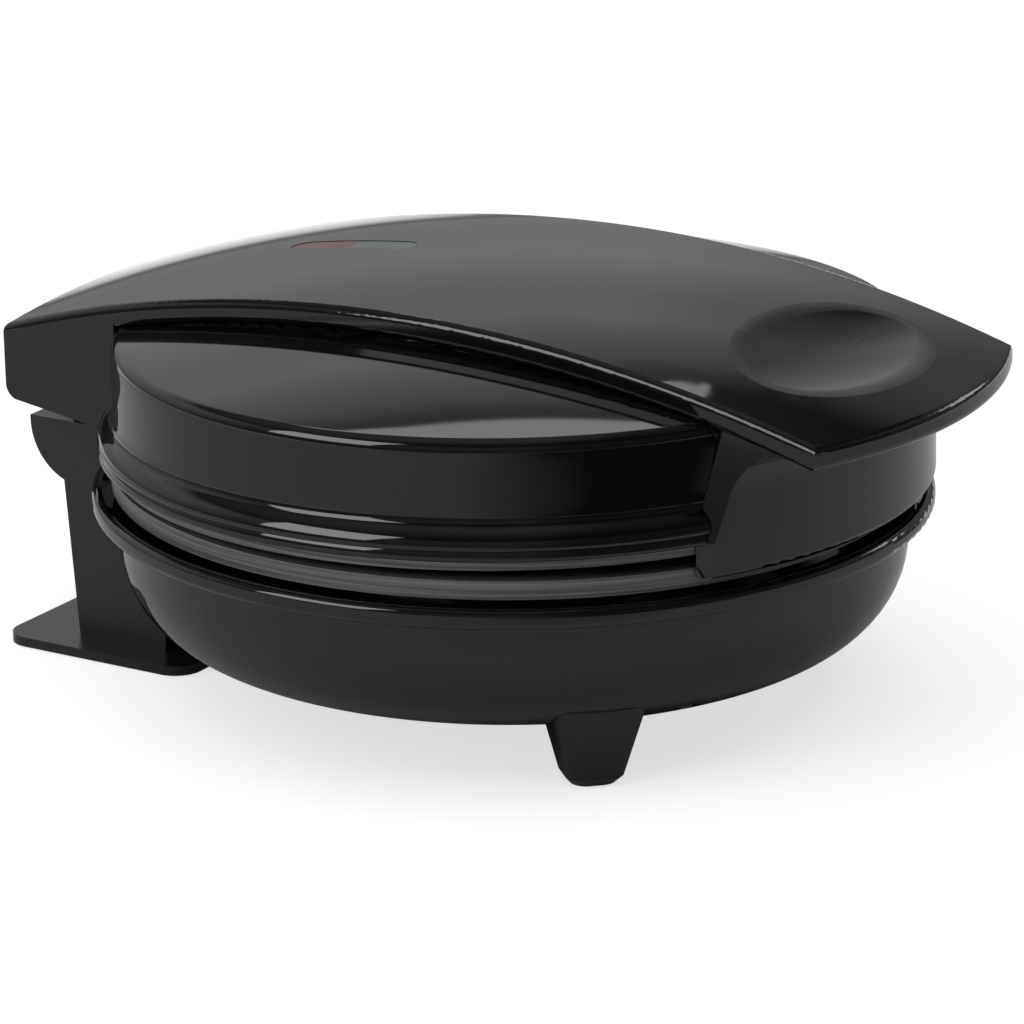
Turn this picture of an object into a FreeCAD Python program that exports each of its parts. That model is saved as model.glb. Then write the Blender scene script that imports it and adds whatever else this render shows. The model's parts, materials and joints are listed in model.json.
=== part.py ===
"""Donut maker: two hinged seven-ring baking plates in a round body, with a bridge cover on the lid.

Frame: millimetres, origin on the table under the plate axis, +Z up, hinge at +Y, handle at -Y.
Lid pieces are drawn closed, then turned about the hinge to the small rest angle in the photo.
"""
import os
import re

import FreeCAD
import Part
import Sketcher

SIZES = (
    # Outline of the whole object
    ("front_reach", 124.5),
    ("rear_reach", 124.5),
    ("wall", 2.5),
    ("fit_gap", 0.3),
    # Base bowl and its rim
    ("bowl_radius", 98.5),
    ("bowl_floor", 14.0),
    ("bowl_corner", 24.0),
    ("rim_radius", 105.0),
    ("rim_top", 51.5),
    ("rim_height", 5.0),
    ("rim_cove", 3.0),
    ("rim_round", 1.8),
    # Baking plates
    ("plate_radius", 100.0),
    ("plate_rim", 4.5),
    ("lower_plate_top", 57.2),
    ("plate_gap", 0.3),
    ("ring_pitch", 62.0),
    ("ring_radius", 17.0),
    ("ring_depth", 10.0),
    ("plate_wall", 2.5),
    ("post_x", 43.0),
    ("post_y", 74.5),
    ("post_radius", 5.0),
    ("screw_radius", 1.6),
    ("head_radius", 3.0),
    ("head_height", 2.0),
    ("hole_play", 0.1),
    # Heaters
    ("element_radius", 3.25),
    ("lower_reflector_z", 33.5),
    ("upper_reflector_z", 78.0),
    ("sheet_thick", 0.8),
    ("reflector_radius", 92.5),
    ("thermostat_x", 19.0),
    ("thermostat_y", 33.0),
    ("thermostat_radius", 8.0),
    # Lid shell
    ("lid_rim_radius", 104.0),
    ("lid_rim_bottom", 60.9),
    ("lid_rim_height", 4.0),
    ("lid_wall_low", 99.5),
    ("lid_wall_high", 98.5),
    ("lid_cove", 3.0),
    ("lid_shoulder", 4.0),
    ("lid_edge_z", 88.5),
    ("lid_apex", 95.4),
    ("lid_dome", 690.0),
    # Bridge cover
    ("cover_apex", 106.8),
    ("cover_sphere", 380.0),
    ("cover_lip", 6.2),
    ("cover_rear_half", 42.5),
    ("cover_front_half", 50.5),
    ("cover_front_corner", 113.0),
    ("cover_side_arc", 1900.0),
    ("cover_front_arc", 120.0),
    ("cover_inner_half", 47.5),
    ("skirt_radius", 105.0),
    ("skirt_bottom", 52.2),
    ("skirt_half", 55.5),
    ("skirt_bend_z", 86.0),
    ("skirt_cove", 11.0),
    ("block_bottom", 60.4),
    ("block_inner", 40.6),
    ("block_front", 88.0),
    ("notch_z", 72.0),
    ("dimple_y", 91.0),
    ("dimple_half_x", 44.0),
    ("dimple_half_y", 20.5),
    ("dimple_depth", 2.9),
    ("dimple_round", 18.0),
    ("slot_y", 46.0),
    ("slot_length", 36.0),
    ("slot_width", 8.0),
    # Hinge and rear stand
    ("hinge_y", 103.5),
    ("hinge_z", 58.5),
    ("pin_radius", 2.0),
    ("pin_play", 0.05),
    ("pin_inner", 20.5),
    ("pin_outer", 36.0),
    ("ear_inner", 25.5),
    ("ear_thick", 5.0),
    ("ear_radius", 5.0),
    ("bracket_z", 76.0),
    ("lug_radius", 16.0),
    ("lug_half", 39.5),
    ("lug_top", 59.5),
    ("pillar_half", 38.7),
    ("pillar_rear_low", 106.5),
    ("pillar_rear_high", 110.4),
    ("pillar_front", 80.0),
    ("gland_z", 20.0),
    ("gland_radius", 6.0),
    ("cord_radius", 3.6),
    # Feet
    ("foot_plate_half", 48.0),
    ("foot_plate_front", 68.0),
    ("foot_plate_thick", 2.5),
    ("foot_plate_corner", 7.0),
    ("foot_x", 56.5),
    ("foot_y", 56.0),
    ("foot_low", 7.2),
    ("foot_high", 12.0),
    ("foot_height", 22.0),
    ("lid_rest_angle", 0.9),
)

ALIASES = [alias for alias, number in SIZES]
SIDES = (("left", -1), ("right", 1))

doc = FreeCAD.newDocument("donut_maker")
sheet = doc.addObject("Spreadsheet::Sheet", "Dims")
for row, (alias, number) in enumerate(SIZES, 1):
    sheet.set(f"A{row}", alias)
    sheet.set(f"B{row}", str(number))
    sheet.setAlias(f"B{row}", alias)
doc.recompute()

nodes = []


def bound(text):
    """Expression text with every size name pointed at the sheet."""
    names = "|".join(sorted(ALIASES, key=len, reverse=True))
    return re.sub(rf"\b({names})\b", r"Dims.\1", str(text))


def value(text):
    return float(sheet.evalExpression(bound(text)))


def place(obj, x="0", y="0", z="0"):
    for axis, text in zip("xyz", (x, y, z)):
        obj.setExpression(f"Placement.Base.{axis}", bound(text))
    return obj


def turn(obj, axis, angle):
    obj.Placement.Rotation = FreeCAD.Rotation(FreeCAD.Vector(*axis), angle)
    return obj


def cylinder(name, radius, height, x="0", y="0", z="0", along="z"):
    obj = doc.addObject("Part::Cylinder", name)
    obj.setExpression("Radius", bound(radius))
    obj.setExpression("Height", bound(height))
    if along == "x":
        turn(obj, (0, 1, 0), 90)
    if along == "y":
        turn(obj, (1, 0, 0), -90)
    return place(obj, x, y, z)


def block(name, xs, ys, zs):
    obj = doc.addObject("Part::Box", name)
    for field, (low, high) in zip(("Length", "Width", "Height"), (xs, ys, zs)):
        obj.setExpression(field, bound(f"({high}) - ({low})"))
    return place(obj, xs[0], ys[0], zs[0])


def sphere(name, radius):
    obj = doc.addObject("Part::Sphere", name)
    obj.setExpression("Radius", bound(radius))
    return place(obj, z="cover_apex - cover_sphere")


def ring(name, major, minor, x, y, z):
    obj = doc.addObject("Part::Torus", name)
    obj.setExpression("Radius1", bound(major))
    obj.setExpression("Radius2", bound(minor))
    return place(obj, x, y, z)


def fuse(name, shapes):
    obj = doc.addObject("Part::MultiFuse", name)
    obj.Shapes = list(shapes)
    return obj


def cut(name, base, *tools):
    for number, tool in enumerate(tools):
        obj = doc.addObject("Part::Cut", f"{name}_{number}" if number + 1 < len(tools) else name)
        obj.Base = base
        obj.Tool = tool
        base = obj
    return base


def common(name, *shapes):
    obj = doc.addObject("Part::MultiCommon", name)
    obj.Shapes = list(shapes)
    return obj


def outline(body, name, plane, points):
    """Closed sketch on an origin plane. A point is (u, v) or (u, v, radius): the radius bends the
    edge that leaves the point, anticlockwise when written plainly and clockwise with a leading minus."""
    sketch = body.newObject("Sketcher::SketchObject", name)
    origin = [item for item in body.Origin.OriginFeatures if item.Role == plane][0]
    sketch.AttachmentSupport = [(origin, "")]
    sketch.MapMode = "FlatFace"
    spots = [FreeCAD.Vector(value(point[0]), value(point[1]), 0) for point in points]
    ends = []
    for index, point in enumerate(points):
        start, stop = spots[index], spots[(index + 1) % len(spots)]
        if len(point) == 2:
            sketch.addGeometry(Part.LineSegment(start, stop))
            ends.append((1, 2))
            continue
        clockwise = point[2].startswith("-")
        radius = value(point[2].lstrip("-"))
        first, last = (stop, start) if clockwise else (start, stop)
        chord = last - first
        left = FreeCAD.Vector(-chord.y, chord.x, 0).normalize()
        rise = max(radius ** 2 - chord.Length ** 2 / 4, 0) ** 0.5
        centre = first + chord * 0.5 + left * rise
        angles = [FreeCAD.Vector(1, 0, 0).getAngle(spot - centre) for spot in (first, last)]
        angles = [angle if spot.y >= centre.y else -angle for angle, spot in zip(angles, (first, last))]
        circle = Part.Circle(centre, FreeCAD.Vector(0, 0, 1), radius)
        sketch.addGeometry(Part.ArcOfCircle(circle, angles[0], angles[1]))
        ends.append((2, 1) if clockwise else (1, 2))
    for index, point in enumerate(points):
        before = index - 1 if index else len(points) - 1
        sketch.addConstraint(Sketcher.Constraint("Coincident", before, ends[before][1], index, ends[index][0]))
        for kind, axis, text, spot in (("DistanceX", -2, point[0], spots[index].x),
                                       ("DistanceY", -1, point[1], spots[index].y)):
            if abs(spot) < 1e-9:
                sketch.addConstraint(Sketcher.Constraint("PointOnObject", index, ends[index][0], axis))
                continue
            item = sketch.addConstraint(Sketcher.Constraint(kind, -1, 1, index, ends[index][0], spot))
            sketch.setExpression(f"Constraints[{item}]", bound(text))
        if len(point) == 3:
            text = point[2].lstrip("-")
            item = sketch.addConstraint(Sketcher.Constraint("Radius", index, value(text)))
            sketch.setExpression(f"Constraints[{item}]", bound(text))
    return sketch


def turned(name, points):
    """Body of revolution about Z from an outline of (radius, height) points."""
    body = doc.addObject("PartDesign::Body", name)
    sketch = outline(body, f"{name}_sketch", "XZ_Plane", points)
    feature = body.newObject("PartDesign::Revolution", f"{name}_turn")
    feature.Profile = sketch
    feature.ReferenceAxis = (sketch, ["V_Axis"])
    feature.Angle = 360
    sketch.Visibility = False
    return body


def padded(name, plane, points, length, start="0", both=False):
    """Body padded from an outline; start lifts the outline off its plane, both pads to each side."""
    body = doc.addObject("PartDesign::Body", name)
    sketch = outline(body, f"{name}_sketch", plane, points)
    sketch.setExpression("AttachmentOffset.Base.z", bound(start))
    feature = body.newObject("PartDesign::Pad", f"{name}_pad")
    feature.Profile = sketch
    feature.setExpression("Length", bound(length))
    feature.Midplane = both
    sketch.Visibility = False
    return body


def rounded(x_low, x_high, y_low, y_high, corner):
    """Outline of a rectangle with rounded corners."""
    return [
        (f"({x_low}) + {corner}", y_low), (f"({x_high}) - {corner}", y_low, corner),
        (x_high, f"({y_low}) + {corner}"), (x_high, f"({y_high}) - {corner}", corner),
        (f"({x_high}) - {corner}", y_high), (f"({x_low}) + {corner}", y_high, corner),
        (x_low, f"({y_high}) - {corner}"), (x_low, f"({y_low}) + {corner}", corner),
    ]


def corners(name, make):
    """One shape made at each of the four plate posts."""
    made = []
    for row, y_sign in (("front", -1), ("rear", 1)):
        for side, x_sign in SIDES:
            made.append(make(f"{name}_{row}_{side}", f"{x_sign} * post_x", f"{y_sign} * post_y"))
    return made


def keep(label, obj, lid=False):
    obj.Label = label
    if lid:
        turn_text = "rotation(vector(1; 0; 0); -lid_rest_angle)"
        obj.setExpression("Placement", bound(
            f"placement(vector(0; 0; 0); {turn_text}; vector(0; hinge_y; hinge_z))"))
    nodes.append((label, obj))
    return obj


# Base bowl: a turned shell with a turned-out rim, four screw posts and holes for wires and screws
BOWL_INNER = "(bowl_radius - bowl_corner)"
bowl_turned = turned("bowl_turned", [
    ("0", "bowl_floor"),
    (BOWL_INNER, "bowl_floor", "bowl_corner"),
    ("bowl_radius", "bowl_floor + bowl_corner"),
    ("bowl_radius", "rim_top - rim_height - rim_cove", "-rim_cove"),
    ("bowl_radius + rim_cove", "rim_top - rim_height"),
    ("rim_radius - rim_round", "rim_top - rim_height", "rim_round"),
    ("rim_radius", "rim_top - rim_height + rim_round"),
    ("rim_radius", "rim_top - rim_round", "rim_round"),
    ("rim_radius - rim_round", "rim_top"),
    ("rim_radius - wall", "rim_top"),
    ("rim_radius - wall", "rim_top - rim_height + wall"),
    ("bowl_radius - wall", "rim_top - rim_height + wall"),
    ("bowl_radius - wall", "bowl_floor + bowl_corner", "-bowl_corner - wall"),
    (BOWL_INNER, "bowl_floor + wall"),
    ("0", "bowl_floor + wall"),
])


def bowl_space(name, grow):
    """Solid the size of the bowl grown outward, up to the rim."""
    return turned(name, [
        ("0", f"bowl_floor - {grow}"),
        (BOWL_INNER, f"bowl_floor - {grow}", f"bowl_corner + {grow}"),
        (f"bowl_radius + {grow}", "bowl_floor + bowl_corner"),
        (f"bowl_radius + {grow}", "rim_top"),
        ("0", "rim_top"),
    ])


bowl_solid = bowl_space("bowl_solid", "0")
bowl_touch = bowl_space("bowl_touch", "0.05")
bowl_clear = bowl_space("bowl_clear", "fit_gap")
bowl_inset = bowl_space("bowl_inset", "(fit_gap + wall)")
base_posts = common("base_posts", bowl_solid, fuse("base_post_set", corners(
    "base_post", lambda name, x, y: cylinder(name, "post_radius", "lower_reflector_z", x, y))))
HEAD_Z = "(bowl_floor + 10)"
base_holes = fuse("base_holes", corners("base_hole", lambda name, x, y: cylinder(
    name, "screw_radius + hole_play", "lower_plate_top", x, y)) + corners(
    "base_sink", lambda name, x, y: cylinder(name, "head_radius + hole_play", HEAD_Z, x, y)))
STAND_SCREW_Z = "(bowl_floor + bowl_corner + 3)"
stand_holes = fuse("stand_holes", [
    cylinder(f"stand_hole_{side}", "screw_radius + hole_play", "40", f"{sign} * 20", "80", STAND_SCREW_Z, "y")
    for side, sign in SIDES] + [cylinder("wire_hole", "5", "22", "0", "84", STAND_SCREW_Z, "y")])
foot_sockets = fuse("foot_sockets", [
    cylinder(f"foot_socket_{side}", "4 + hole_play", "30", f"{sign} * foot_x", "-foot_y") for side, sign in SIDES])
keep("base_shell", cut("base_shell", fuse("base_shell_full", [bowl_turned, base_posts]),
                       base_holes, stand_holes, foot_sockets))

# Front feet: tapered, turned to face outward, trimmed to the bowl, each with a plug into the bowl floor
for side, sign in SIDES:
    body = doc.addObject("PartDesign::Body", f"foot_{side}_taper")
    layers = []
    for number, (half, height) in enumerate((("foot_low - 1.6", "0"), ("foot_low", "2"),
                                             ("foot_high", "foot_height"))):
        layer = outline(body, f"foot_{side}_layer_{number}", "XY_Plane",
                        rounded(f"-({half})", half, f"-({half})", half, "4"))
        layer.setExpression("AttachmentOffset.Base.z", bound(height))
        layer.Visibility = False
        layers.append(layer)
    loft = body.newObject("PartDesign::AdditiveLoft", f"foot_{side}_loft")
    loft.Profile = layers[0]
    loft.Sections = layers[1:]
    loft.Ruled = True
    turn(body, (0, 0, 1), 45)
    place(body, f"{sign} * foot_x", "-foot_y")
    plug = cylinder(f"foot_{side}_plug", "4", "bowl_floor + 8", f"{sign} * foot_x", "-foot_y")
    keep(f"front_foot_{side}", fuse(f"front_foot_{side}", [cut(f"foot_{side}_trim", body, bowl_touch), plug]))

# Rear stand: hollow pillar and hinge lug
pillar = padded("pillar", "YZ_Plane", [
    ("pillar_front", "foot_plate_thick"),
    ("pillar_rear_low", "foot_plate_thick"),
    ("pillar_rear_high", "hinge_z - lug_radius + 4"),
    ("pillar_front", "hinge_z - lug_radius + 4"),
], "2 * pillar_half", both=True)
lug = padded("lug", "YZ_Plane", [
    ("pillar_front + 6", "hinge_z - lug_radius"),
    ("hinge_y", "hinge_z - lug_radius", "lug_radius"),
    ("hinge_y + lug_radius", "hinge_z"),
    ("hinge_y + lug_radius", "lug_top"),
    ("pillar_front + 6", "lug_top"),
], "2 * lug_half", both=True)
pillar_hollow = padded("pillar_hollow", "YZ_Plane", [
    ("pillar_front + wall", "0"),
    ("pillar_rear_low - wall", "0"),
    ("pillar_rear_high - wall", "hinge_z - lug_radius + 4"),
    ("pillar_front + wall", "hinge_z - lug_radius + 4"),
], "2 * (pillar_half - wall)", both=True)
stand_bosses = [cylinder(f"stand_boss_{side}", "4.5", "30", f"{sign} * (pillar_half - 5)", "98", "foot_plate_thick")
                for side, sign in SIDES]
pin_bosses = [cylinder(f"pin_boss_{side}", "ear_radius + 0.5", "pin_outer - pin_inner",
                       f"{sign} * (pin_inner + pin_outer) / 2 - (pin_outer - pin_inner) / 2",
                       "hinge_y", "hinge_z", "x") for side, sign in SIDES]
stand_full = cut("stand_full", fuse("stand_outer", [pillar, lug]),
                 cut("stand_space", pillar_hollow, bowl_inset))
stand_solid = fuse("stand_solid", [stand_full] + pin_bosses + stand_bosses)
rim_clear = cylinder("rim_clear", "rim_radius + fit_gap", "rim_height + rim_cove + 1",
                     z="rim_top - rim_height - rim_cove - 0.5")
plate_clear = cylinder("plate_clear", "plate_radius + 0.8", "30", z="rim_top")
ear_slots = fuse("ear_slots", [
    block(f"ear_slot_{side}", (f"{sign} * (ear_inner + ear_thick / 2) - ear_thick / 2 - 0.5",
                               f"{sign} * (ear_inner + ear_thick / 2) + ear_thick / 2 + 0.5"),
          ("hinge_y - 9", "rear_reach + 2"), ("hinge_z - 7.5", "hinge_z + 12")) for side, sign in SIDES])
lug_centre = block("lug_centre", ("-pin_inner + 0.5", "pin_inner - 0.5"), ("80", "rear_reach"), ("hinge_z - 3", "80"))
pin_bores = fuse("pin_bores", [
    cylinder(f"pin_bore_{side}", "pin_radius", "pin_outer - pin_inner - 2 + 4",
             f"{sign} * (pin_inner + pin_outer - 6) / 2 - (pin_outer - pin_inner + 2) / 2",
             "hinge_y", "hinge_z", "x") for side, sign in SIDES])
gland_bore = cylinder("gland_bore", "gland_radius", "30", "0", "95", "gland_z", "y")
boss_bores = fuse("boss_bores", [cylinder(f"boss_bore_{side}", "screw_radius + hole_play", "18",
                                          f"{sign} * (pillar_half - 5)", "98") for side, sign in SIDES])
keep("rear_stand", cut("rear_stand", stand_solid, bowl_clear, rim_clear, plate_clear, ear_slots, lug_centre,
                       pin_bores, gland_bore, boss_bores, stand_holes))
for side, sign in SIDES:
    keep(f"hinge_pin_{side}", cylinder(
        f"hinge_pin_{side}", "pin_radius", "pin_outer - pin_inner - 2",
        f"{sign} * (pin_inner + pin_outer - 2) / 2 - (pin_outer - pin_inner - 2) / 2", "hinge_y", "hinge_z", "x"))

# Foot plate under the stand, its screws, the cord gland and the screws that hold the stand to the bowl
plate_full = padded("foot_plate_full", "XY_Plane", rounded(
    "-foot_plate_half", "foot_plate_half", "foot_plate_front", "rear_reach", "foot_plate_corner"), "foot_plate_thick")
keep("foot_plate", cut("foot_plate", plate_full, fuse("foot_plate_holes", [
    cylinder(f"foot_plate_hole_{side}", "screw_radius + hole_play", "10", f"{sign} * (pillar_half - 5)", "98", "-1")
    for side, sign in SIDES] + [
    cylinder(f"foot_plate_sink_{side}", "head_radius + hole_play", "1.5 + 1", f"{sign} * (pillar_half - 5)", "98", "-1")
    for side, sign in SIDES])))
keep("foot_plate_screws", fuse("foot_plate_screws", [
    cylinder(f"foot_screw_head_{side}", "head_radius", "1.2", f"{sign} * (pillar_half - 5)", "98", "0.3")
    for side, sign in SIDES] + [
    cylinder(f"foot_screw_shank_{side}", "screw_radius", "14", f"{sign} * (pillar_half - 5)", "98", "0.4")
    for side, sign in SIDES]))
keep("stand_screws", fuse("stand_screws", [
    cylinder(f"stand_screw_head_{side}", "head_radius", "head_height", f"{sign} * 20",
             "sqrt((bowl_radius - wall) ^ 2 - 23 ^ 2) - head_height", STAND_SCREW_Z, "y") for side, sign in SIDES] + [
    cylinder(f"stand_screw_shank_{side}", "screw_radius", "12", f"{sign} * 20",
             "sqrt((bowl_radius - wall) ^ 2 - 23 ^ 2) - head_height / 2", STAND_SCREW_Z, "y")
    for side, sign in SIDES]))
GLAND_Y = "(pillar_rear_low + (gland_z / hinge_z) * 4)"
keep("cord_gland", cut("cord_gland", fuse("gland_solid", [
    cylinder("gland_neck", "gland_radius - hole_play", "8", "0", f"{GLAND_Y} - 6.5", "gland_z", "y"),
    cylinder("gland_collar", "gland_radius + 2", "2", "0", f"{GLAND_Y} + 1.3", "gland_z", "y")]),
    cylinder("cord_bore", "cord_radius", "30", "0", "92", "gland_z", "y")))

# Baking plates: a disc with seven ring hollows, each ring bulging out on the far side
RING_SPOTS = [("0", "0")] + [
    (f"ring_pitch * cos({angle})", f"ring_pitch * sin({angle})") for angle in range(30, 390, 60)]
UPPER_Z = "(lower_plate_top + plate_gap)"


def baking_plate(name, face, low, height, post_low, post_height, half_low, half_height, pad_low, pad_height):
    disc = cylinder(f"{name}_disc", "plate_radius", height, z=low)
    bulges = fuse(f"{name}_bulges", [
        ring(f"{name}_bulge_{number}", "ring_radius", "ring_depth + plate_wall", x, y, face)
        for number, (x, y) in enumerate(RING_SPOTS)])
    half = common(f"{name}_backs", bulges, cylinder(f"{name}_half", "plate_radius", half_height, z=half_low))
    posts = corners(f"{name}_post", lambda label, x, y: cylinder(
        label, "post_radius", post_height, x, y, post_low))
    pad = cylinder(f"{name}_pad", "post_radius - 0.6", pad_height, "thermostat_x", "thermostat_y", pad_low)
    rings = fuse(f"{name}_rings", [
        ring(f"{name}_ring_{number}", "ring_radius", "ring_depth", x, y, face)
        for number, (x, y) in enumerate(RING_SPOTS)])
    bores = fuse(f"{name}_bores", corners(f"{name}_bore", lambda label, x, y: cylinder(
        label, "screw_radius + hole_play", f"{post_height} - plate_wall * 0.4", x, y,
        post_low if "upper" not in name else f"{post_low} + plate_wall * 0.4")))
    return cut(name, fuse(f"{name}_full", [disc, half, pad] + posts), rings, bores)


LOWER_POST = "(lower_reflector_z + sheet_thick)"
keep("lower_plate", baking_plate(
    "lower_plate", "lower_plate_top", "lower_plate_top - plate_rim", "plate_rim",
    LOWER_POST, f"lower_plate_top - plate_rim - {LOWER_POST} + 1", "lower_plate_top - 20", "20",
    "lower_reflector_z + 5", "lower_plate_top - plate_rim - lower_reflector_z - 4"))
keep("upper_plate", baking_plate(
    "upper_plate", UPPER_Z, UPPER_Z, "plate_rim",
    f"{UPPER_Z} + plate_rim - 1", f"upper_reflector_z - {UPPER_Z} - plate_rim + 1", UPPER_Z, "20",
    f"{UPPER_Z} + plate_rim - 1", f"upper_reflector_z - {UPPER_Z} - plate_rim - 2"), lid=True)

# Heating elements: open loops on the backs of the rings, with cold pins through the reflectors
BULGE = "(ring_depth + plate_wall + element_radius + 0.05)"


def element(name, height, pin_low, pin_high):
    loop = ring(f"{name}_loop", "ring_pitch", "element_radius", "0", "0", height)
    loop.Angle3 = 330
    turn(loop, (0, 0, 1), 105)
    pins = [cylinder(f"{name}_pin_{side}", "2.2", f"({pin_high}) - ({pin_low})",
                     f"{sign} * ring_pitch * cos(75)", "ring_pitch * sin(75)", pin_low) for side, sign in SIDES]
    return fuse(name, [loop] + pins)


def reflector(name, low, posts_low, extra):
    """Sheet dish with holes for the plate screws, the cold pins and the thermostat."""
    up = "" if name.startswith("lower") else "-"
    edge = f"{low} + sheet_thick + 4" if not up else f"{low} - 4"
    near, far = (low, f"{low} + sheet_thick") if not up else (f"{low} + sheet_thick", low)
    order = [("0", near), ("reflector_radius", near), ("reflector_radius", edge),
             ("reflector_radius - sheet_thick", edge), ("reflector_radius - sheet_thick", far), ("0", far)]
    holes = corners(f"{name}_hole", lambda label, x, y: cylinder(
        label, "screw_radius + hole_play", "10", x, y, f"{low} - 4"))
    holes += [cylinder(f"{name}_pin_hole_{side}", "3.2", "10", f"{sign} * ring_pitch * cos(75)",
                       "ring_pitch * sin(75)", f"{low} - 4") for side, sign in SIDES]
    holes += extra
    return cut(name, turned(f"{name}_dish", order), fuse(f"{name}_holes", holes))


keep("lower_element", element("lower_element", f"lower_plate_top - {BULGE}", "lower_reflector_z - 7",
                              f"lower_plate_top - {BULGE}"))
keep("lower_reflector", reflector("lower_reflector", "lower_reflector_z", "0", [
    cylinder("thermostat_hole", "post_radius", "10", "thermostat_x", "thermostat_y", "lower_reflector_z - 4")]))
keep("upper_element", element("upper_element", f"{UPPER_Z} + {BULGE}", f"{UPPER_Z} + {BULGE}",
                              "upper_reflector_z + 6"), lid=True)
keep("upper_reflector", reflector("upper_reflector", "upper_reflector_z", "0", []), lid=True)

# Thermostat, thermal fuse and terminal block in the bowl
keep("thermostat", fuse("thermostat", [
    cylinder("thermostat_body", "thermostat_radius", "8", "thermostat_x", "thermostat_y", "lower_reflector_z - 8"),
    cylinder("thermostat_cap", "post_radius - 0.6", "6", "thermostat_x", "thermostat_y", "lower_reflector_z - 1")] + [
    block(f"thermostat_blade_{side}", (f"thermostat_x + {sign} * 5 - 0.4", f"thermostat_x + {sign} * 5 + 0.4"),
          ("thermostat_y - 3", "thermostat_y + 3"), ("lower_reflector_z - 14", "lower_reflector_z - 7.5"))
    for side, sign in SIDES]))
keep("thermal_fuse", fuse("thermal_fuse", [
    cylinder("fuse_body", "2", "12", "-thermostat_x - 6", "thermostat_y", "lower_reflector_z - 2", "x"),
    cylinder("fuse_leads", "0.6", "28", "-thermostat_x - 14", "thermostat_y", "lower_reflector_z - 2", "x")]))
FLOOR = "(bowl_floor + wall)"
keep("terminal_block", cut("terminal_block", block(
    "terminal_body", ("-15", "15"), ("62", "72"), (FLOOR, f"{FLOOR} + 12")), fuse("terminal_bores", [
        cylinder(f"terminal_bore_{number}", "2", "14", f"{10 * number}", "60", f"{FLOOR} + 6", "y")
        for number in (-1, 0, 1)])))

# Screws that hold each plate and reflector to its shell
keep("base_plate_screws", fuse("base_plate_screws", corners("base_screw_head", lambda name, x, y: cylinder(
    name, "head_radius", "head_height", x, y, f"{HEAD_Z} - head_height")) + corners(
    "base_screw_shank", lambda name, x, y: cylinder(
        name, "screw_radius", f"lower_plate_top - plate_rim - 4 - {HEAD_Z}", x, y, f"{HEAD_Z} - 1"))))
LID_SINK = "(lid_edge_z - 3)"
keep("lid_plate_screws", fuse("lid_plate_screws", corners("lid_screw_head", lambda name, x, y: cylinder(
    name, "head_radius", "head_height", x, y, LID_SINK)) + corners(
    "lid_screw_shank", lambda name, x, y: cylinder(
        name, "screw_radius", f"{LID_SINK} - {UPPER_Z} - plate_rim - 3", x, y,
        f"{UPPER_Z} + plate_rim + 4"))), lid=True)

# Lid shell: a turned dome with a rim that stops where the bridge cover comes down
DOME_EDGE = "(lid_wall_high - lid_shoulder)"


def dome_z(radius, drop):
    return f"(lid_apex - {drop} - lid_dome + sqrt((lid_dome) ^ 2 - ({radius}) ^ 2))"


lid_turned = turned("lid_turned", [
    ("0", "lid_apex"),
    ("0", "lid_apex - wall", "-lid_dome"),
    ("lid_wall_high - lid_shoulder - wall", dome_z("(lid_wall_high - lid_shoulder - wall)", "wall")),
    ("lid_wall_high - wall", f"{dome_z(DOME_EDGE, '0')} - lid_shoulder - wall"),
    ("lid_wall_low - wall", "lid_rim_bottom + lid_rim_height - wall"),
    ("lid_rim_radius - wall", "lid_rim_bottom + lid_rim_height - wall"),
    ("lid_rim_radius - wall", "lid_rim_bottom"),
    ("lid_rim_radius - 0.8", "lid_rim_bottom"),
    ("lid_rim_radius", "lid_rim_bottom + 0.8"),
    ("lid_rim_radius", "lid_rim_bottom + lid_rim_height - 1.2"),
    ("lid_rim_radius - 0.8", "lid_rim_bottom + lid_rim_height - 0.3"),
    ("lid_wall_low + lid_cove / 3", "lid_rim_bottom + lid_rim_height + lid_cove / 4"),
    ("lid_wall_low", "lid_rim_bottom + lid_rim_height + lid_cove"),
    ("lid_wall_high", f"{dome_z(DOME_EDGE, '0')} - lid_shoulder", "lid_shoulder"),
    (DOME_EDGE, dome_z(DOME_EDGE, "0"), "lid_dome"),
])
lid_space = turned("lid_space", [
    ("0", "40"),
    ("lid_wall_low + fit_gap", "40"),
    ("lid_wall_low + fit_gap", "lid_rim_bottom + lid_rim_height + lid_cove"),
    ("lid_wall_high + fit_gap", f"{dome_z(DOME_EDGE, '0')} - lid_shoulder", "lid_shoulder + fit_gap"),
    (DOME_EDGE, f"{dome_z(DOME_EDGE, '0')} + fit_gap", "lid_dome"),
    ("0", "lid_apex + fit_gap"),
])
lid_solid = turned("lid_solid", [
    ("0", "upper_reflector_z"),
    ("lid_wall_high - 1", "upper_reflector_z"),
    ("lid_wall_high - 1", "lid_edge_z - lid_shoulder"),
    (DOME_EDGE, f"{dome_z(DOME_EDGE, '0')} - 1", "lid_dome"),
    ("0", "lid_apex - 1"),
])
lid_posts = common("lid_posts", lid_solid, fuse("lid_post_set", corners("lid_post", lambda name, x, y: cylinder(
    name, "post_radius", "40", x, y, "upper_reflector_z + sheet_thick"))))
lid_bores = fuse("lid_bores", corners("lid_bore", lambda name, x, y: cylinder(
    name, "screw_radius + hole_play", "30", x, y, "upper_reflector_z - 2")) + corners(
    "lid_sink", lambda name, x, y: cylinder(name, "head_radius + hole_play", "20", x, y, LID_SINK)))
COVER_SPOTS = [(f"{x_sign} * 30", f"{y_sign} * 32") for x_sign in (-1, 1) for y_sign in (-1, 1)]
cover_bores = fuse("cover_bores", [cylinder(f"cover_bore_{number}", "screw_radius + hole_play", "14", x, y,
                                            "lid_apex - 6") for number, (x, y) in enumerate(COVER_SPOTS)])
lid_wires = cylinder("lid_wires", "6", "20", "0", "74", "lid_apex - 12")


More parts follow.
